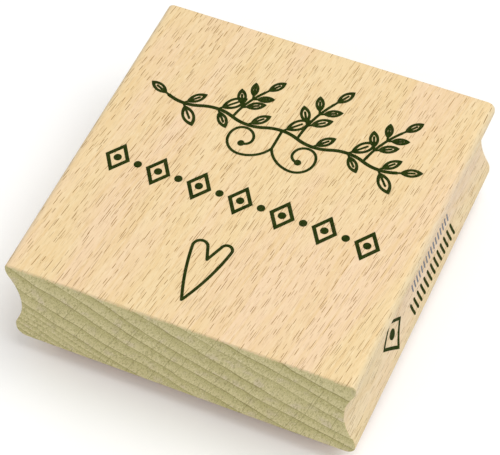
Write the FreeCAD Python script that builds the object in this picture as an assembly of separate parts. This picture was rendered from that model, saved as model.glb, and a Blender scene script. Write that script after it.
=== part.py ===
import FreeCAD, Part
import os
from math import asin, cos, degrees, radians, sin, sqrt

# Hand stamp: a moulded beech block with a finger cove along two sides, a foam cushion
# stuck under it, and a vulcanised rubber die stuck under the foam. The motif of the die
# is printed on the block's top as a guide, and a small mark is printed on one side.
#
# Frame: origin on the printing plane under the middle of the block, +X along the reading
# direction of the motif, +Y towards its head, +Z up. Millimetres.

Vec = FreeCAD.Vector

# ---- block ----
block_width = 75.0             # along X, lip to lip
block_depth = 76.0             # along Y, between the sawn ends
block_height = 24.0
lip_radius = 4.0               # rounded lips above and below the finger cove
cove_radius = 15.5
cove_depth = 2.4               # how far the cove lies behind the lips
cove_height = 12.4             # middle of the cove above the underside of the block
top_edge_radius = 1.7
bottom_edge_radius = 2.3
end_edge_radius = 0.3          # sanded edges of the sawn ends

# ---- layers under the block ----
foam_thickness = 3.0
adhesive_thickness = 0.1
adhesive_inset = 0.4           # the adhesive stops short of the foam's edge
sheet_thickness = 1.2          # base sheet of the rubber die
relief_height = 1.2            # how far the printing lines stand out of the sheet
die_inset = 3.5                # from the block's edge to the edge of foam and rubber
die_corner_radius = 5.0

# ---- motif, the same on the die and on the block's top ----
ink_thickness = 0.05
motif_tilt = -1.4              # degrees, the print sits slightly askew on the block
stem_line = 0.8                # line widths
leaf_line = 0.6
vein_line = 0.5
border_line = 0.8
heart_line = 0.65
vine_middle = -0.7
vine_height = 13.6             # of the vine's ends above the middle of the block
vine_radius = 9.8
vine_turn = 44.0               # degrees turned in each wave
vine_waves = 7
pendant_wave = 3               # the wave that the two tendrils hang from
pendant_stalk = 5.2
tendril_bends = [(6.6, 62), (3.8, 120), (2.5, 150), (1.7, 100)]
bud_radius = 0.75
twig_bend = -9.0               # degrees in each third of a twig
twigs = [{"wave": 1, "heading": 82, "radius": 20.0, "leaf": 4.5},
         {"wave": 3, "heading": 88, "radius": 25.5, "leaf": 4.9},
         {"wave": 5, "heading": 80, "radius": 23.5, "leaf": 4.6}]
twig_leaf_swing = 42.0
twig_leaf_shrink = 0.12        # each pair of leaves is smaller than the last
leaf_lengths = (6.0, 4.8)      # outside and inside a bend of the vine
leaf_swing = 48.0              # degrees between leaf and vine
leaf_slenderness = 0.46        # width of a leaf over its length
leaf_stalk = 0.7
leaf_tip_wall = 1.15           # ink between a leaf's opening and its pointed ends
vein_reach = 0.62              # of the leaf's length
border_middle = (-0.7, -5.7)
border_height = 7.8
diamond_width = 5.6
diamond_pitch = 9.25
diamonds = 7
dot_radius = 0.85
heart_tip = (-0.55, -32.3)
heart_lean = -1.3              # degrees
heart_notch = 10.7             # height of the notch above the tip
heart_lobe_turn = 168.0        # degrees
heart_halves = [               # right and left: straight start at the notch, its slope, lobe radius
    {"side": 1, "run": 4.2, "slope": 72.0, "radius": 1.2},
    {"side": -1, "run": 3.2, "slope": 66.0, "radius": 1.55}]

# ---- side mark, on the +X side ----
badge_middle = (-14.0, 8.6)    # (Y, height above the underside of the block)
badge_height = 8.4
badge_width = 9.5
badge_line = 0.7
badge_dot_radius = 1.2
bold_bars = {"start": -5.0, "low": 4.6, "high": 7.3, "pitch": 1.86, "count": 13, "line": 0.75}
fine_bars = {"start": -2.5, "low": 8.4, "high": 10.5, "pitch": 1.31, "count": 16, "line": 0.45}

sheet_bottom = relief_height
adhesive_low_bottom = sheet_bottom + sheet_thickness
foam_bottom = adhesive_low_bottom + adhesive_thickness
adhesive_up_bottom = foam_bottom + foam_thickness
block_bottom = adhesive_up_bottom + adhesive_thickness
block_top = block_bottom + block_height


# ---- small helpers for flat shapes ----
def ahead(angle):
    return Vec(cos(angle), sin(angle), 0)


def leftward(angle):
    return Vec(-sin(angle), cos(angle), 0)


def line(a, b):
    return Part.LineSegment(a, b).toShape()


def arc(a, middle, b):
    return Part.Arc(a, middle, b).toShape()


def flat(edges):
    return Part.Face(Part.Wire(Part.__sortEdges__(edges)))


def disc(middle, radius):
    return Part.Face(Part.Wire(Part.makeCircle(radius, Vec(*middle))))


def walk(start, heading, bends):
    """Follow tangent arcs and straight runs from a point.

    Each bend is (radius, degrees), positive to the left, or (length, 0) for a straight
    run. Each leg comes back as its start, middle and end, as (point, angle) pairs.
    """
    point, angle = Vec(*start), radians(heading)
    legs = []
    for size, turn in bends:
        if turn == 0:
            leg = [(point + ahead(angle) * size * part, angle) for part in (0, 0.5, 1)]
        else:
            to_centre = size if turn > 0 else -size
            centre = point + leftward(angle) * to_centre
            angles = [angle + radians(turn) * part for part in (0, 0.5, 1)]
            leg = [(centre - leftward(a) * to_centre, a) for a in angles]
        legs.append(leg)
        point, angle = leg[-1]
    return legs


def bend_to(stop, target):
    """The (radius, degrees) of the tangent arc from a stop to a target point."""
    point, angle = stop
    reach = target - point
    radius = reach.Length ** 2 / (2 * reach.dot(leftward(angle)))
    return abs(radius), degrees(2 * asin(reach.Length / (2 * radius)))


def beside(stop, offset):
    point, angle = stop
    return point + leftward(angle) * offset


def stroke(legs, width):
    """Face of a pen line of even width with round ends."""
    half = width / 2
    edges = []
    for offset in (half, -half):
        for leg in legs:
            a, middle, b = (beside(stop, offset) for stop in leg)
            straight = leg[0][1] == leg[-1][1]
            edges.append(line(a, b) if straight else arc(a, middle, b))
    first, last = legs[0][0], legs[-1][-1]
    edges.append(arc(beside(first, half), first[0] - ahead(first[1]) * half, beside(first, -half)))
    edges.append(arc(beside(last, half), last[0] + ahead(last[1]) * half, beside(last, -half)))
    return flat(edges)


def diamond(middle, width, height):
    x, y = middle
    corners = [Vec(x - width / 2, y), Vec(x, y - height / 2), Vec(x + width / 2, y), Vec(x, y + height / 2)]
    return flat([line(a, b) for a, b in zip(corners, corners[1:] + corners[:1])])


def diamond_ring(middle, width, height, line_width):
    """Outlined diamond with the same line width on all four sides."""
    shrink = 1 - 2 * line_width * sqrt(1 / width ** 2 + 1 / height ** 2)
    return diamond(middle, width, height).cut(diamond(middle, width * shrink, height * shrink))


def joined(solids):
    """Separate solids from overlapping ones, without inner seams."""
    if len(solids) == 1:
        return solids
    return solids[0].multiFuse(solids[1:]).removeSplitter().Solids


def slab(faces, bottom, thickness):
    """Raise flat faces into solids, and join those that overlap."""
    solids = []
    for face in faces:
        base = face.copy()
        base.translate(Vec(0, 0, bottom))
        solids.append(base.extrude(Vec(0, 0, thickness)))
    return joined(solids)


# ---- motif ----
def almond(base, angle, length, width):
    """Pointed leaf shape between two arcs."""
    tip = base + ahead(angle) * length
    middle = base + ahead(angle) * (length / 2)
    side = leftward(angle) * (width / 2)
    return flat([arc(base, middle + side, tip), arc(tip, middle - side, base)])


def leaf(stop, swing, length):
    """Outlined leaf with a mid vein, growing from a stem at an angle to it."""
    root, angle = stop
    angle += radians(swing)
    width = leaf_slenderness * length
    base = root + ahead(angle) * leaf_stalk
    opening = almond(base + ahead(angle) * leaf_tip_wall, angle,
                     length - 2 * leaf_tip_wall, width - 2 * leaf_line)
    vein = walk(tuple(root), degrees(angle), [(leaf_stalk + vein_reach * length, 0)])
    return [almond(base, angle, length, width).cut(opening), stroke(vein, vein_line)]


def twig(start, heading, radius, leaf_length):
    """Short curved twig with pairs of leaves and one leaf at its tip."""
    legs = walk(start, heading, [(radius, twig_bend)] * 3)
    shapes = [stroke(legs, leaf_line)]
    for number, leg in enumerate(legs[:2]):
        size = leaf_length * (1 - twig_leaf_shrink * number)
        shapes += leaf(leg[-1], twig_leaf_swing, size) + leaf(leg[-1], -twig_leaf_swing, size)
    return shapes + leaf(legs[-1][-1], 0, leaf_length)


def tendril(start, side):
    """Line that winds down and up to one side and ends in a bud."""
    legs = walk(start, -90 + 24 * side, [(radius, side * turn) for radius, turn in tendril_bends])
    return [stroke(legs, leaf_line), disc(tuple(legs[-1][-1][0]), bud_radius)]


def vine():
    """Wavy stem with leaves, twigs above it and two tendrils below."""
    bends = [(vine_radius, vine_turn if number % 2 == 0 else -vine_turn) for number in range(vine_waves)]
    half_span = vine_waves * vine_radius * sin(radians(vine_turn / 2))
    stem = walk((vine_middle - half_span, vine_height), -vine_turn / 2, bends)
    shapes = [stroke(stem, stem_line)] + leaf(stem[0][0], 180, leaf_lengths[1])
    for number, (_, middle, _) in enumerate(stem):
        outer = -1 if number % 2 == 0 else 1
        for side, length in zip((outer, -outer), leaf_lengths):
            beside_pendant = abs(number - pendant_wave) <= 1 and side < 0
            if not beside_pendant:
                shapes += leaf(middle, leaf_swing * side, length)
    shapes += leaf(stem[-1][-1], 0, leaf_lengths[1])
    for plan in twigs:
        root = tuple(stem[plan["wave"]][-1][0])
        shapes += twig(root, plan["heading"], plan["radius"], plan["leaf"])
    stalk = walk(tuple(stem[pendant_wave][1][0]), -90, [(pendant_stalk, 0)])
    fork = tuple(stalk[-1][-1][0])
    return shapes + [stroke(stalk, leaf_line)] + tendril(fork, 1) + tendril(fork, -1)


def border():
    """Row of outlined diamonds, each with a dot in it and a dot between each two."""
    x0, y0 = border_middle
    shapes = []
    for number in range(diamonds):
        middle = (x0 + (number - (diamonds - 1) / 2) * diamond_pitch, y0)
        shapes += [diamond_ring(middle, diamond_width, border_height, border_line), disc(middle, dot_radius)]
        if number < diamonds - 1:
            shapes.append(disc((middle[0] + diamond_pitch / 2, y0), dot_radius))
    return shapes


def heart():
    """Outlined heart: each half runs from the notch round its lobe and down to the tip."""
    halves = []
    for plan in heart_halves:
        bends = [(plan["run"], 0), (plan["radius"], -plan["side"] * heart_lobe_turn)]
        heading = 90 - plan["side"] * (90 - plan["slope"])
        lobe_end = walk((0, heart_notch), heading, bends)[-1][-1]
        bends.append(bend_to(lobe_end, Vec()))
        halves.append(stroke(walk((0, heart_notch), heading, bends), heart_line))
    for half in halves:
        half.rotate(Vec(), Vec(0, 0, 1), heart_lean)
        half.translate(Vec(*heart_tip))
    return halves


def tilted(faces):
    for face in faces:
        face.rotate(Vec(), Vec(0, 0, 1), motif_tilt)
    return faces


# ---- pieces ----
def block_section(grow):
    """Cross-section of the block in the XZ plane, grown outwards by a film's thickness."""
    half = block_width / 2 + grow
    top = block_height + grow
    lip, cove = lip_radius + grow, cove_radius - grow
    lip_x = block_width / 2 - lip_radius
    cove_x = block_width / 2 - cove_depth + cove_radius
    rise = sqrt((lip_radius + cove_radius) ** 2 - (cove_x - lip_x) ** 2)
    lean = asin(rise / (lip_radius + cove_radius))
    edges = []
    for side in (1, -1):
        def at(x, z):
            return Vec(side * x, 0, z)

        def corner(x, z, radius, vertical):
            """Quarter-round edge about (x, z), from the side wall to the top or underside."""
            diagonal = radius * sqrt(0.5)
            halfway = at(x + diagonal, z + vertical * diagonal)
            return arc(at(x + radius, z), halfway, at(x, z + vertical * radius))

        for vertical in (-1, 1):
            lip_z = cove_height + vertical * rise
            half_lean = lean / 2
            edges.append(arc(at(half, lip_z),
                             at(lip_x + lip * cos(half_lean), lip_z - vertical * lip * sin(half_lean)),
                             at(lip_x + lip * cos(lean), lip_z - vertical * lip * sin(lean))))
        foot_x = cove_x - cove * cos(lean)
        foot_z = cove * sin(lean)
        edges.append(arc(at(foot_x, cove_height - foot_z), at(cove_x - cove, cove_height),
                         at(foot_x, cove_height + foot_z)))
        edge_x = block_width / 2
        low, high = bottom_edge_radius, block_height - top_edge_radius
        edges.append(corner(edge_x - bottom_edge_radius, low, bottom_edge_radius + grow, -1))
        edges.append(corner(edge_x - top_edge_radius, high, top_edge_radius + grow, 1))
        edges.append(line(at(half, low), at(half, cove_height - rise)))
        edges.append(line(at(half, cove_height + rise), at(half, high)))
    flat_low = block_width / 2 - bottom_edge_radius
    flat_high = block_width / 2 - top_edge_radius
    edges.append(line(Vec(-flat_low, 0, -grow), Vec(flat_low, 0, -grow)))
    edges.append(line(Vec(-flat_high, 0, top), Vec(flat_high, 0, top)))
    return flat(edges)


def block_bar(grow):
    section = block_section(grow)
    section.translate(Vec(0, -block_depth / 2, block_bottom))
    return section.extrude(Vec(0, block_depth, 0))


def wood_block():
    bar = block_bar(0)
    ends = [edge for edge in bar.Edges if abs(abs(edge.CenterOfMass.y) - block_depth / 2) < 0.001]
    return [bar.makeFillet(end_edge_radius, ends)]


def side_print(faces):
    """Ink film on the +X side: a flat pattern pressed onto the moulded surface.

    The pattern is drawn with Y along its first axis and height along its second.
    """
    film = block_bar(ink_thickness).cut(block_bar(0))
    solids = []
    for face in faces:
        face.rotate(Vec(), Vec(1, 0, 0), 90)
        face.rotate(Vec(), Vec(0, 0, 1), 90)
        face.translate(Vec(0, 0, block_bottom))
        solids += face.extrude(Vec(block_width, 0, 0)).common(film).Solids
    return solids


def bars(row):
    """Row of short upright bars with round ends."""
    shapes = []
    for number in range(row["count"]):
        foot = (row["start"] + number * row["pitch"], row["low"] + row["line"] / 2)
        legs = walk(foot, 90, [(row["high"] - row["low"] - row["line"], 0)])
        shapes.append(stroke(legs, row["line"]))
    return shapes


def badge():
    """Upright diamond outline with a dot in it."""
    return [diamond_ring(badge_middle, badge_width, badge_height, badge_line),
            disc(badge_middle, badge_dot_radius)]


def die_outline(shrink):
    """Rounded rectangle of the foam and rubber, drawn in by shrink."""
    half_x = block_width / 2 - die_inset - shrink
    half_y = block_depth / 2 - die_inset - shrink
    straight_x = 2 * (half_x - die_corner_radius)
    straight_y = 2 * (half_y - die_corner_radius)
    legs = walk((-straight_x / 2, -half_y), 0,
                [(straight_x, 0), (die_corner_radius, 90), (straight_y, 0), (die_corner_radius, 90)] * 2)
    edges = []
    for leg in legs:
        a, middle, b = (stop[0] for stop in leg)
        edges.append(line(a, b) if leg[0][1] == leg[-1][1] else arc(a, middle, b))
    return flat(edges)


def layer(bottom, thickness, shrink=0.0):
    return slab([die_outline(shrink)], bottom, thickness)


def rubber_die(motif):
    lines = []
    for faces in motif.values():
        lines += slab(faces, 0, relief_height)
    return joined(layer(sheet_bottom, sheet_thickness) + lines)


motif = {"sprig": tilted(vine()), "border": tilted(border()), "heart": tilted(heart())}

nodes = {
    "wood_block": wood_block(),
    "upper_adhesive_film": layer(adhesive_up_bottom, adhesive_thickness, adhesive_inset),
    "foam_cushion": layer(foam_bottom, foam_thickness),
    "lower_adhesive_film": layer(adhesive_low_bottom, adhesive_thickness, adhesive_inset),
    "rubber_die": rubber_die(motif),
    "side_mark_print": side_print(badge() + bars(bold_bars)),
    "side_mark_fine_print": side_print(bars(fine_bars)),
}
for name, faces in motif.items():
    nodes["index_print_" + name] = slab(faces, block_top, ink_thickness)

os.makedirs("parts", exist_ok=True)
for name, solids in nodes.items():
    shape = Part.makeCompound(solids) if len(solids) > 1 else solids[0]
    shape.exportStep("parts/" + name + ".step")
    size = shape.optimalBoundingBox(False)
    print(name, "solids", len(shape.Solids), "valid", shape.isValid(), "volume %.2f" % shape.Volume,
          "size %.2f x %.2f x %.2f" % (size.XLength, size.YLength, size.ZLength))
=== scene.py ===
import math
import bpy
import bmesh
from mathutils import Matrix, Vector, noise

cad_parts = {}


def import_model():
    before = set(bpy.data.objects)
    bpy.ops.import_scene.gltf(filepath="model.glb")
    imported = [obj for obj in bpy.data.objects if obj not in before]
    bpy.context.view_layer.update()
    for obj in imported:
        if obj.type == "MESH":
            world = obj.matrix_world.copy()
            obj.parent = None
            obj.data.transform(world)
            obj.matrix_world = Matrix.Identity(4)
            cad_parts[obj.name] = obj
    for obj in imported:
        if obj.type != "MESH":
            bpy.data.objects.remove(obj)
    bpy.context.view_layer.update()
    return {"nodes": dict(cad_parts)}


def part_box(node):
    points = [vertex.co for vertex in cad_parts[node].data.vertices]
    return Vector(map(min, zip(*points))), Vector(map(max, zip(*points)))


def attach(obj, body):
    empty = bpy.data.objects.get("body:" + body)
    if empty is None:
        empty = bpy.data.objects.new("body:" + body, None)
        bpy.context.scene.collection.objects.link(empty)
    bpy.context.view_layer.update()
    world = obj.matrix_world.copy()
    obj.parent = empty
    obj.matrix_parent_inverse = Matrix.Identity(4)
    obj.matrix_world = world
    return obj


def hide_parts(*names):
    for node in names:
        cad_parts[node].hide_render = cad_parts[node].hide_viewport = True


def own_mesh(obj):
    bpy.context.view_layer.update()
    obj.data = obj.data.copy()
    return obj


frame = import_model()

# Look of a hand stamp: one solid beech, whose rings and rays agree on every face and show
# through worn ink, and rubber, foam and adhesive film under it.

MM = 0.001

# ---- wood figure, in millimetres in the part's own frame ----
GRAIN_LEAN = math.radians(7)        # the grain runs a little clockwise of the block's depth
PITH = (140.0, 340.0)               # middle of the growth rings, across the block and up
MIDDLE_RADIUS = 0.95 * math.hypot(*PITH)        # radius of the ring through the middle of the block
FIRST_RING = 324.7                  # radius at which the counted rings start
RING_PITCH = 4.15                   # width of a ring
CROWDED_FROM = 365.0                # radius from which the rings are narrower
CROWDED_PITCH = 1.9                 # width of a ring there
RING_WANDER = 1.1                   # in rings
RAY_CELL = (0.49, 3.9, 11.0)        # one wood ray per cell: around a ring, along the grain, across rings
RAY_HALF = (0.075, 1.65, 4.6)       # half size of one ray
FINE_CELL = (0.28, 2.4, 5.0)        # the same for the fine rays between them
FINE_HALF = (0.045, 1.0, 2.2)
BLOCK_TOP = 29.6                    # height of the top, where the sawn ends are burnished
BURNISHED, SAWN = 0.15, 1.0         # depths below the top at which an end is still smooth, and is rough
BURNISH_RAGGED = 2.2

# ---- noise in the wood: cycles per mm around a ring, along the grain, across rings; detail; roughness ----
SWAY = (0.05, 0.018, 0.05), 2.0, 0.5
SWAY_REACH = (2.2, 0.0, 1.2)        # mm that the grain sways across and up
WANDER = (0.045, 0.012, 0.17), 3.0, 0.5
STREAK = (3.4, 0.40, 1.15), 3.0, 0.62
FIBRE = (1.5, 0.06, 0.6), 3.0, 0.6
PORES = (6.2, 0.9, 2.5), 2.0, 0.7
CLOUD = (0.10, 0.02, 0.06), 2.0, 0.5
PATCH = (0.35, 0.10, 0.30), 2.0, 0.5

# ---- colours, as 0 to 255 display values ----
LONG_WARM = (231, 206, 160)         # long grain: the top, the underside and the coved sides
LONG_PINK = (232, 203, 167)
LONG_RING = (223, 192, 134)
LONG_FIBRE = (224, 192, 140)
LONG_LIGHT = (239, 219, 180)
LONG_RAY = (142, 102, 46)
# sawn ends: darker than the long grain, partly as end grain is and partly painted shade, which also makes
# them greener
END_PALE = (200, 189, 142)          # sawn ends
END_GREY = (199, 185, 152)
END_DARK = (163, 155, 97)
END_SHADE = (140, 132, 80)
END_BRIGHT = (222, 212, 170)
END_LINE = (126, 118, 66)
GREEN_INK, GREEN_INK_DENSE = (42, 56, 10), (28, 43, 2)
GREY_INK, GREY_INK_DENSE = (118, 128, 142), (96, 108, 126)
RUBBER_DULL, RUBBER_BRIGHT = (142, 62, 48), (156, 70, 54)
RUBBER_DARK, RUBBER_DUST = (120, 50, 40), (200, 160, 145)
# the third foam colour is painted shade, for the insides of the bubble pits
FOAM_GREY, FOAM_WHITE, FOAM_PIT_PAINTED_SHADE = (214, 214, 210), (226, 226, 221), (164, 165, 163)
FILM_MILKY, FILM_YELLOW = (226, 221, 204), (205, 197, 172)
FLOOR_DULL, FLOOR_BRIGHT = (248, 248, 248), (252, 252, 251)

# ---- painted light on the coved sides: their colour over that of the top, in linear light, below and above these heights; painted shade, pinker towards the upper lip ----
SIDE_PAINTED_LIGHT_LOW = (0.885, 0.925, 0.870, 1.0)
SIDE_PAINTED_LIGHT_HIGH = (0.905, 0.955, 1.050, 1.0)
PAINTED_LIGHT_HEIGHTS = (7.5, 12.5)

# ---- foam pad ----
FOAM_CORNER = 5.0 * MM
FOAM_INSET = 0.10 * MM              # the cut pad is this much smaller than its place
FOAM_HOLLOW = 0.28 * MM             # how far the cutter leaves the sides hollow
FOAM_RIPPLE = 0.07 * MM
RIPPLES = 260                       # per metre
CORNER_STEPS, SIDE_STEPS, FOAM_LAYERS = 10, 26, 8

# ---- rubber ----
ENGRAVING_PITCH = 0.16              # mm between the lines that the engraver leaves
ENGRAVED_HEIGHTS = (0.9, 1.25)      # mm; the lines are on the floor between the raised motif

# ---- camera: a long lens from the front right, well above, rolled a little anticlockwise ----
CAMERA_AZIMUTH, CAMERA_ELEVATION, CAMERA_ROLL = (math.radians(a) for a in (26.35, 52.52, -2.86))
CAMERA_AIM = Vector((-0.36, -2.82, 17.6)) * MM
CAMERA_DISTANCE = 0.4404
CAMERA_LENS, CAMERA_SENSOR = 154.2, 36.0

# ---- light ----
LIGHT_AIM = (0, 0, 0.015)
KEY = {"place": (0.45, 0.10, 1.20), "size": 1.0, "power": 9.5}
FILL = {"place": (0.3, -1.1, 0.7), "size": 0.9, "power": 2.2}
SKY_STRENGTH = 0.62


def linear(red, green, blue, alpha=1.0):
    """A colour given as 0 to 255 display values, as linear light."""
    def channel(value):
        value /= 255
        return value / 12.92 if value <= 0.04045 else ((value + 0.055) / 1.055) ** 2.4
    return (channel(red), channel(green), channel(blue), alpha)


class Nodes:
    """Short calls for building a node tree. An input is a number, a colour or a socket."""

    def __init__(self, tree):
        self.tree = tree

    def add(self, kind, inputs=None, **settings):
        node = self.tree.nodes.new(kind)
        for name, value in settings.items():
            setattr(node, name, value)
        for key, value in (inputs or {}).items():
            self.put(node.inputs[key], value)
        return node

    def put(self, socket, value):
        if isinstance(value, bpy.types.NodeSocket):
            self.tree.links.new(value, socket)
        else:
            socket.default_value = value

    def math(self, operation, *values):
        return self.add("ShaderNodeMath", dict(enumerate(values)), operation=operation).outputs[0]

    def total(self, first, *others):
        for other in others:
            first = self.math("ADD", first, other)
        return first

    def times(self, a, b):
        return self.math("MULTIPLY", a, b)

    def length(self, a, b, power=2.0):
        """Root of a squared plus b to a power."""
        return self.math("SQRT", self.total(self.math("POWER", a, 2.0), self.math("POWER", b, power)))

    def vector(self, operation, *values):
        return self.add("ShaderNodeVectorMath", dict(enumerate(values)), operation=operation).outputs[0]

    def millimetres(self):
        """Place on the piece, in millimetres."""
        here = self.add("ShaderNodeTexCoord").outputs["Object"]
        return self.vector("MULTIPLY", here, (1 / MM, 1 / MM, 1 / MM))

    def join(self, x, y, z):
        return self.add("ShaderNodeCombineXYZ", {0: x, 1: y, 2: z}).outputs[0]

    def split(self, vector):
        return self.add("ShaderNodeSeparateXYZ", {0: vector}).outputs

    def noise(self, vector, scale=1.0, detail=2.0, roughness=0.5, output=0):
        inputs = {"Vector": vector, "Scale": scale, "Detail": detail, "Roughness": roughness}
        return self.add("ShaderNodeTexNoise", inputs).outputs[output]

    def wood_noise(self, place, kind, output=0):
        stretch, detail, roughness = kind
        return self.noise(self.vector("MULTIPLY", place, stretch), 1.0, detail, roughness, output)

    def ramp(self, value, low, high, out_low=0.0, out_high=1.0):
        """Smooth step from one value to another."""
        inputs = {"Value": value, "From Min": low, "From Max": high, "To Min": out_low, "To Max": out_high}
        return self.add("ShaderNodeMapRange", inputs, interpolation_type="SMOOTHSTEP").outputs[0]

    def mix(self, factor, a, b, blend="MIX"):
        """Mix of two colours."""
        node = self.add("ShaderNodeMix", {0: factor, 6: a, 7: b}, data_type="RGBA", blend_type=blend)
        return node.outputs[2]

    def choose(self, factor, a, b):
        """The first vector where factor is 0, the second where it is 1."""
        return self.add("ShaderNodeMix", {0: factor, 4: a, 5: b}, data_type="VECTOR").outputs[1]

    def bump(self, height, strength, distance):
        inputs = {"Height": height, "Strength": strength, "Distance": distance}
        return self.add("ShaderNodeBump", inputs).outputs[0]


# ---- wood ----
def grain_place(n):
    """Millimetres across the grain, along it and up. The grain sways a little."""
    here = n.add("ShaderNodeTexCoord").outputs["Object"]
    turned = n.add("ShaderNodeMapping", {"Vector": here, "Rotation": (0, 0, GRAIN_LEAN),
                                         "Scale": (1 / MM, 1 / MM, 1 / MM)}).outputs[0]
    sway = n.vector("SUBTRACT", n.wood_noise(turned, SWAY, output=1), (0.5, 0.5, 0.5))
    return n.split(n.vector("ADD", turned, n.vector("MULTIPLY", sway, SWAY_REACH)))


def log_place(n, across, along, height):
    """The same place in the log: (length around a ring, along the grain, radius), and the radius."""
    from_pith = n.math("SUBTRACT", across, PITH[0])
    over_pith = n.math("SUBTRACT", height, PITH[1])
    radius = n.length(from_pith, over_pith)
    angle = n.math("ARCTAN2", from_pith, n.times(over_pith, -1.0))
    return n.join(n.times(angle, MIDDLE_RADIUS), along, radius), radius


def growth_rings(n, place, radius):
    """How porous the wood is, and how strongly the line at the start of a ring shows.

    Each ring starts dark and full of pores, and turns paler outwards.
    """
    rings = n.math("DIVIDE", n.math("SUBTRACT", radius, FIRST_RING), RING_PITCH)
    crowded = n.math("MAXIMUM", n.math("SUBTRACT", radius, CROWDED_FROM), 0.0)
    extra = n.times(crowded, 1 / CROWDED_PITCH - 1 / RING_PITCH)
    count = n.total(rings, extra, n.times(n.wood_noise(place, WANDER), RING_WANDER))
    always_positive = n.total(count, 20.0)
    part = n.math("FRACT", always_positive)
    own = n.add("ShaderNodeTexWhiteNoise", {"W": n.math("FLOOR", count)}, noise_dimensions="1D").outputs[0]
    start_line = n.times(n.ramp(part, 0.09, 0.0), n.ramp(own, 0.0, 1.0, 0.45, 0.95))
    porous = n.times(n.math("POWER", n.math("SUBTRACT", 1.0, part), 1.25), n.ramp(own, 0.0, 1.0, 0.7, 1.0))
    return porous, start_line


def spindles(n, place, cell, half):
    """Scattered spindle-shaped streaks, one per cell: (how much of one is here, its own random value)."""
    stretched = n.vector("DIVIDE", place, cell)
    cells = n.add("ShaderNodeTexVoronoi", {"Vector": stretched, "Scale": 1.0, "Randomness": 1.0})
    offset = n.vector("SUBTRACT", stretched, cells.outputs["Position"])
    ratio = tuple(c / h for c, h in zip(cell, half))
    across, along, through = n.split(n.vector("ABSOLUTE", n.vector("MULTIPLY", offset, ratio)))
    own, _, length = n.split(cells.outputs["Color"])
    along = n.math("DIVIDE", along, n.ramp(length, 0.0, 1.0, 0.5, 1.2))
    core = n.ramp(n.length(across, along, power=4.0), 1.0, 0.45)
    reach = n.ramp(through, 1.0, 0.75)
    return n.times(core, reach), own


def long_grain(n, place, height, normal_x, porous, streak, ray, ray_random, fine):
    """Colour where the surface runs along the grain."""
    fibre = n.wood_noise(place, FIBRE)
    cloud = n.wood_noise(place, CLOUD)
    tone = n.mix(n.ramp(cloud, 0.38, 0.62), linear(*LONG_WARM), linear(*LONG_PINK))
    tone = n.mix(n.times(porous, 0.30), tone, linear(*LONG_RING))
    tone = n.mix(n.ramp(fibre, 0.42, 0.72, 0.0, 0.7), tone, linear(*LONG_FIBRE))
    tone = n.mix(n.ramp(streak, 0.48, 0.25, 0.0, 0.6), tone, linear(*LONG_LIGHT))
    tone = n.mix(n.ramp(streak, 0.56, 0.80, 0.0, 0.25), tone, linear(*LONG_RAY))
    tone = n.mix(n.times(fine, 0.35), tone, linear(*LONG_RAY))
    mark = n.times(ray, n.ramp(ray_random, 0.0, 1.0, 0.2, 1.0))
    tone = n.mix(mark, tone, linear(*LONG_RAY))

    # the coved sides are a little darker, painted shade, and pinker towards the upper lip, a painted tint
    # of the light
    sideways = n.ramp(n.math("ABSOLUTE", normal_x), 0.25, 0.9)
    side_painted_light = n.mix(n.ramp(height, *PAINTED_LIGHT_HEIGHTS), SIDE_PAINTED_LIGHT_LOW, SIDE_PAINTED_LIGHT_HIGH)
    return n.mix(sideways, tone, n.mix(1.0, tone, side_painted_light, blend="MULTIPLY"))


def end_grain(n, place, porous, start_line, streak, pores, ray, ray_random):
    """Colour of the sawn ends: end grain drinks in light and looks darker, and part of their darker,
    greener tone is painted shade.
    """
    patch = n.wood_noise(place, PATCH)
    tone = n.mix(n.ramp(patch, 0.52, 0.68), linear(*END_PALE), linear(*END_GREY))
    tone = n.mix(porous, tone, linear(*END_DARK))
    tone = n.mix(n.ramp(streak, 0.47, 0.68, 0.0, 0.75), tone, linear(*END_SHADE))
    tone = n.mix(n.ramp(pores, 0.48, 0.27, 0.0, 0.85), tone, linear(*END_BRIGHT))
    tone = n.mix(start_line, tone, linear(*END_LINE))
    slit = n.times(ray, n.ramp(ray_random, 0.55, 0.95, 0.0, 0.7))
    return n.mix(slit, tone, linear(*END_LINE))


def end_share(n, height, normal_y, porous, streak):
    """1 on the sawn ends and 0 elsewhere, with a ragged change at their edges."""
    ragged = n.times(n.math("SUBTRACT", n.total(streak, porous), 0.8), 0.35)
    facing = n.ramp(n.total(n.math("ABSOLUTE", normal_y), ragged), 0.4, 0.7)
    torn = n.total(height, n.times(n.math("SUBTRACT", streak, 0.5), BURNISH_RAGGED))
    return n.times(facing, n.ramp(torn, BLOCK_TOP - BURNISHED, BLOCK_TOP - SAWN, 0.15, 1.0))


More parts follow.
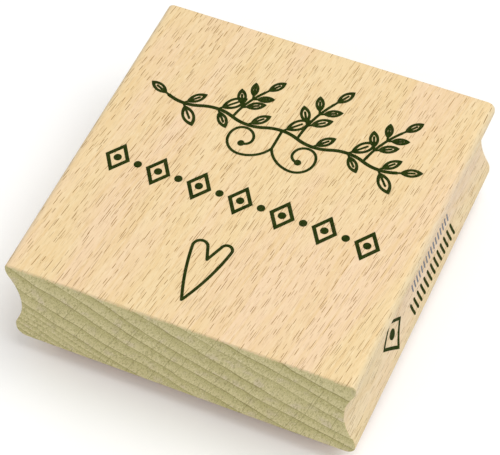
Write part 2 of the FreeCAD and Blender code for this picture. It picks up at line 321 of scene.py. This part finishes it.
def beech_group():
    """Beech cut from one place in a log, so that rings, rays and pores agree on every face."""
    tree = bpy.data.node_groups.new("beech", "ShaderNodeTree")
    n = Nodes(tree)
    across, along, height = grain_place(n)
    place, radius = log_place(n, across, along, height)
    porous, start_line = growth_rings(n, place, radius)
    streak = n.wood_noise(place, STREAK)
    pores = n.wood_noise(place, PORES)

    # on the coved sides the rays are cut short, and look like those on the top
    normal_x, normal_y, _ = n.split(n.add("ShaderNodeNewGeometry").outputs["Normal"])
    side_face = n.math("GREATER_THAN", n.math("ABSOLUTE", normal_x), 0.6)
    ray_place = n.choose(side_face, place, n.join(height, along, across))
    ray, ray_random = spindles(n, ray_place, RAY_CELL, RAY_HALF)
    fine, fine_random = spindles(n, ray_place, FINE_CELL, FINE_HALF)
    fine = n.times(fine, n.ramp(fine_random, 0.1, 0.9, 0.0, 1.0))

    sawn = end_share(n, height, normal_y, porous, streak)
    color = n.mix(sawn, long_grain(n, place, height, normal_x, porous, streak, ray, ray_random, fine),
                  end_grain(n, place, porous, start_line, streak, pores, ray, ray_random))
    groove = n.total(n.times(ray, 0.55), n.times(fine, 0.25), n.times(streak, 0.5))
    pitted = n.times(pores, n.times(sawn, 0.8))
    results = {
        "Color": color,
        "Height": n.math("SUBTRACT", 1.0, n.total(groove, pitted)),
        "Roughness": n.total(n.ramp(streak, 0.3, 0.7, 0.50, 0.62), n.times(sawn, 0.15)),
        "Open": n.math("MAXIMUM", n.times(ray, 0.9), fine),
    }
    for name in results:
        kind = "NodeSocketColor" if name == "Color" else "NodeSocketFloat"
        tree.interface.new_socket(name, in_out="OUTPUT", socket_type=kind)
    n.add("NodeGroupOutput", results)
    return tree


# ---- materials ----
def new_material(name):
    material = bpy.data.materials.new(name)
    material.use_nodes = True
    material.node_tree.nodes.clear()
    return material, Nodes(material.node_tree)


def finish_material(n, color, roughness, normal=None, **constants):
    """Principled shader; the constants are set on its own sockets."""
    shader = n.add("ShaderNodeBsdfPrincipled", {"Base Color": color, "Roughness": roughness})
    if normal is not None:
        n.put(shader.inputs["Normal"], normal)
    for name, value in constants.items():
        shader.inputs[name.replace("_", " ")].default_value = value
    n.add("ShaderNodeOutputMaterial", {"Surface": shader.outputs[0]})


def beech_material(group):
    material, n = new_material("beech")
    wood = n.add("ShaderNodeGroup", node_tree=group)
    normal = n.bump(wood.outputs["Height"], 0.35, 0.06 * MM)
    finish_material(n, wood.outputs["Color"], wood.outputs["Roughness"], normal, Specular_IOR_Level=0.32)
    return material


def ink_material(name, group, color, dense, worn):
    """Ink printed on beech: matt, uneven, and worn thin over open rays so that some wood shows."""
    material, n = new_material(name)
    wood = n.add("ShaderNodeGroup", node_tree=group)
    place = n.millimetres()
    body = n.mix(n.ramp(n.noise(place, 1.6, 3.0), 0.35, 0.7), linear(*dense), linear(*color))
    speck = n.ramp(n.noise(place, 6.0, 2.0), 0.60, 0.80)
    thin = n.times(n.math("MAXIMUM", wood.outputs["Open"], speck), worn)
    ink = n.mix(thin, body, wood.outputs["Color"])
    normal = n.bump(wood.outputs["Height"], 0.25, 0.05 * MM)
    finish_material(n, ink, 0.75, normal, Specular_IOR_Level=0.06)
    return material


def rubber_material():
    """Brick-red vulcanised rubber, with the fine lines that the engraving leaves."""
    material, n = new_material("die_rubber")
    place = n.millimetres()
    _, y, z = n.split(place)
    cloud = n.noise(place, 0.25, 4.0, 0.6)
    grain = n.noise(place, 9.0, 3.0, 0.65)
    base = n.mix(n.ramp(cloud, 0.3, 0.7), linear(*RUBBER_DULL), linear(*RUBBER_BRIGHT))
    base = n.mix(n.ramp(grain, 0.45, 0.8, 0.0, 0.35), base, linear(*RUBBER_DARK))
    dust = n.ramp(n.noise(place, 1.3, 5.0, 0.7), 0.58, 0.8, 0.0, 0.22)
    base = n.mix(dust, base, linear(*RUBBER_DUST))
    wavering = n.total(y, n.times(grain, 0.05))
    lines = n.math("SINE", n.times(wavering, 2 * math.pi / ENGRAVING_PITCH))
    engraved = n.times(n.times(lines, 0.5), n.ramp(z, *ENGRAVED_HEIGHTS))
    normal = n.bump(n.total(engraved, n.times(grain, 1.2)), 0.4, 0.04 * MM)
    finish_material(n, base, n.ramp(grain, 0.3, 0.7, 0.48, 0.62), normal, Specular_IOR_Level=0.4)
    return material


def foam_material():
    """Closed-cell foam: a skin of small bubbles, cut open at the sides."""
    material, n = new_material("foam")
    place = n.millimetres()
    large, small = (n.add("ShaderNodeTexVoronoi", {"Vector": place, "Scale": scale}).outputs["Distance"]
                    for scale in (3.4, 8.0))
    pit = n.total(n.times(n.ramp(large, 0.42, 0.05), 0.7), n.times(n.ramp(small, 0.4, 0.05), 0.4))
    tone = n.mix(n.noise(place, 0.3, 3.0), linear(*FOAM_GREY), linear(*FOAM_WHITE))
    # darker in the pits: painted shade in the open bubbles
    tone = n.mix(n.times(pit, 0.55), tone, linear(*FOAM_PIT_PAINTED_SHADE))
    normal = n.bump(pit, -0.7, 0.12 * MM)
    finish_material(n, tone, n.ramp(pit, 0.0, 1.0, 0.62, 0.85), normal, Specular_IOR_Level=0.25,
                    Sheen_Weight=0.1)
    return material


def film_material():
    """Double-sided adhesive film: milky, and a little yellowed in places."""
    material, n = new_material("adhesive")
    place = n.millimetres()
    tone = n.mix(n.noise(place, 1.1, 4.0), linear(*FILM_MILKY), linear(*FILM_YELLOW))
    rough = n.ramp(n.noise(place, 5.0, 2.0), 0.3, 0.7, 0.25, 0.4)
    normal = n.bump(n.noise(place, 6.0, 2.0), 0.2, 0.03 * MM)
    finish_material(n, tone, rough, normal, Specular_IOR_Level=0.5)
    return material


def paint(name, material):
    mesh = frame["nodes"][name].data
    mesh.materials.clear()
    mesh.materials.append(material)


# ---- foam pad ----
def pad_outline(half):
    """Points of a rounded rectangle about the origin, evenly spread along its straight sides."""
    outline = []
    for index, (sx, sy) in enumerate(((1, -1), (1, 1), (-1, 1), (-1, -1))):
        centre = Vector((sx * (half.x - FOAM_CORNER), sy * (half.y - FOAM_CORNER)))
        first = (index - 1) * math.pi / 2
        for step in range(CORNER_STEPS + 1):
            a = first + step / CORNER_STEPS * math.pi / 2
            outline.append(centre + FOAM_CORNER * Vector((math.cos(a), math.sin(a))))
    dense = []
    for a, b in zip(outline, outline[1:] + outline[:1]):
        steps = SIDE_STEPS if (b - a).length > FOAM_CORNER else 1
        dense += [a.lerp(b, step / steps) for step in range(steps)]
    return dense


def foam_cushion(material):
    """Die-cut foam pad: rounded outline, sides a little hollow from the cutter, slightly wavy."""
    low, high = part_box("foam_cushion")
    middle = (low + high) / 2
    half = (high - low) / 2
    outline = pad_outline(half)
    mesh = bmesh.new()
    rings = []
    for layer in range(FOAM_LAYERS + 1):
        share = layer / FOAM_LAYERS
        hollow = FOAM_HOLLOW * math.sin(math.pi * share)
        z = low.z + share * (high.z - low.z)
        ring = []
        for point in outline:
            ripple = FOAM_RIPPLE * noise.noise(Vector((point.x, point.y, share * 2 * MM)) * RIPPLES)
            pulled = point * (1 - (FOAM_INSET + hollow + ripple) / half.x)
            ring.append(mesh.verts.new((middle.x + pulled.x, middle.y + pulled.y, z)))
        rings.append(ring)
    for below, above in zip(rings, rings[1:]):
        for i in range(len(outline)):
            j = (i + 1) % len(outline)
            mesh.faces.new((below[i], below[j], above[j], above[i])).smooth = True
    mesh.faces.new(rings[-1])
    mesh.faces.new(list(reversed(rings[0])))
    data = bpy.data.meshes.new("foam_pad")
    mesh.to_mesh(data)
    mesh.free()
    data.materials.append(material)
    pad = bpy.data.objects.new("foam_pad", data)
    bpy.context.scene.collection.objects.link(pad)
    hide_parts("foam_cushion")
    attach(pad, "block")
    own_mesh(pad)


# ---- studio ----
def floor():
    bpy.ops.mesh.primitive_plane_add(size=3)
    plane = bpy.context.object
    plane.name = "floor"
    material, n = new_material("paper_floor")
    place = n.add("ShaderNodeTexCoord").outputs["Object"]
    tone = n.mix(n.noise(place, 40.0, 3.0), linear(*FLOOR_DULL), linear(*FLOOR_BRIGHT))
    finish_material(n, tone, 0.9, Specular_IOR_Level=0.1)
    plane.data.materials.append(material)


def area_light(name, place, size, power):
    data = bpy.data.lights.new(name, "AREA")
    data.shape = "DISK"
    data.size = size
    data.energy = power
    light = bpy.data.objects.new(name, data)
    light.location = place
    light.rotation_mode = "QUATERNION"
    light.rotation_quaternion = (Vector(LIGHT_AIM) - Vector(place)).to_track_quat("-Z", "Y")
    bpy.context.scene.collection.objects.link(light)


def camera():
    back = Vector((math.sin(CAMERA_AZIMUTH) * math.cos(CAMERA_ELEVATION),
                   -math.cos(CAMERA_AZIMUTH) * math.cos(CAMERA_ELEVATION),
                   math.sin(CAMERA_ELEVATION)))
    data = bpy.data.cameras.new("camera")
    data.lens = CAMERA_LENS
    data.sensor_width = CAMERA_SENSOR
    data.clip_start, data.clip_end = 0.01, 10
    cam = bpy.data.objects.new("camera", data)
    cam.location = CAMERA_AIM + back * CAMERA_DISTANCE
    cam.rotation_mode = "QUATERNION"
    look = (-back).to_track_quat("-Z", "Y")
    cam.rotation_quaternion = look @ Matrix.Rotation(CAMERA_ROLL, 3, "Z").to_quaternion()
    bpy.context.scene.collection.objects.link(cam)
    bpy.context.scene.camera = cam


def world():
    sky = bpy.data.worlds.new("studio")
    sky.use_nodes = True
    n = Nodes(sky.node_tree)
    sky.node_tree.nodes.clear()
    glow = n.add("ShaderNodeBackground", {"Color": (1, 1, 1, 1), "Strength": SKY_STRENGTH})
    n.add("ShaderNodeOutputWorld", {"Surface": glow.outputs[0]})
    bpy.context.scene.world = sky


beech = beech_group()
green_ink = ink_material("dark_green_ink", beech, GREEN_INK, GREEN_INK_DENSE, worn=0.05)
grey_ink = ink_material("grey_blue_ink", beech, GREY_INK, GREY_INK_DENSE, worn=0.4)
film = film_material()
paint("wood_block", beech_material(beech))
for name in ("index_print_sprig", "index_print_border", "index_print_heart", "side_mark_print"):
    paint(name, green_ink)
paint("side_mark_fine_print", grey_ink)
paint("upper_adhesive_film", film)
paint("lower_adhesive_film", film)
paint("rubber_die", rubber_material())
foam_cushion(foam_material())

floor()
world()
area_light("key", **KEY)
area_light("fill", **FILL)
camera()
bpy.context.scene.view_settings.view_transform = "Standard"
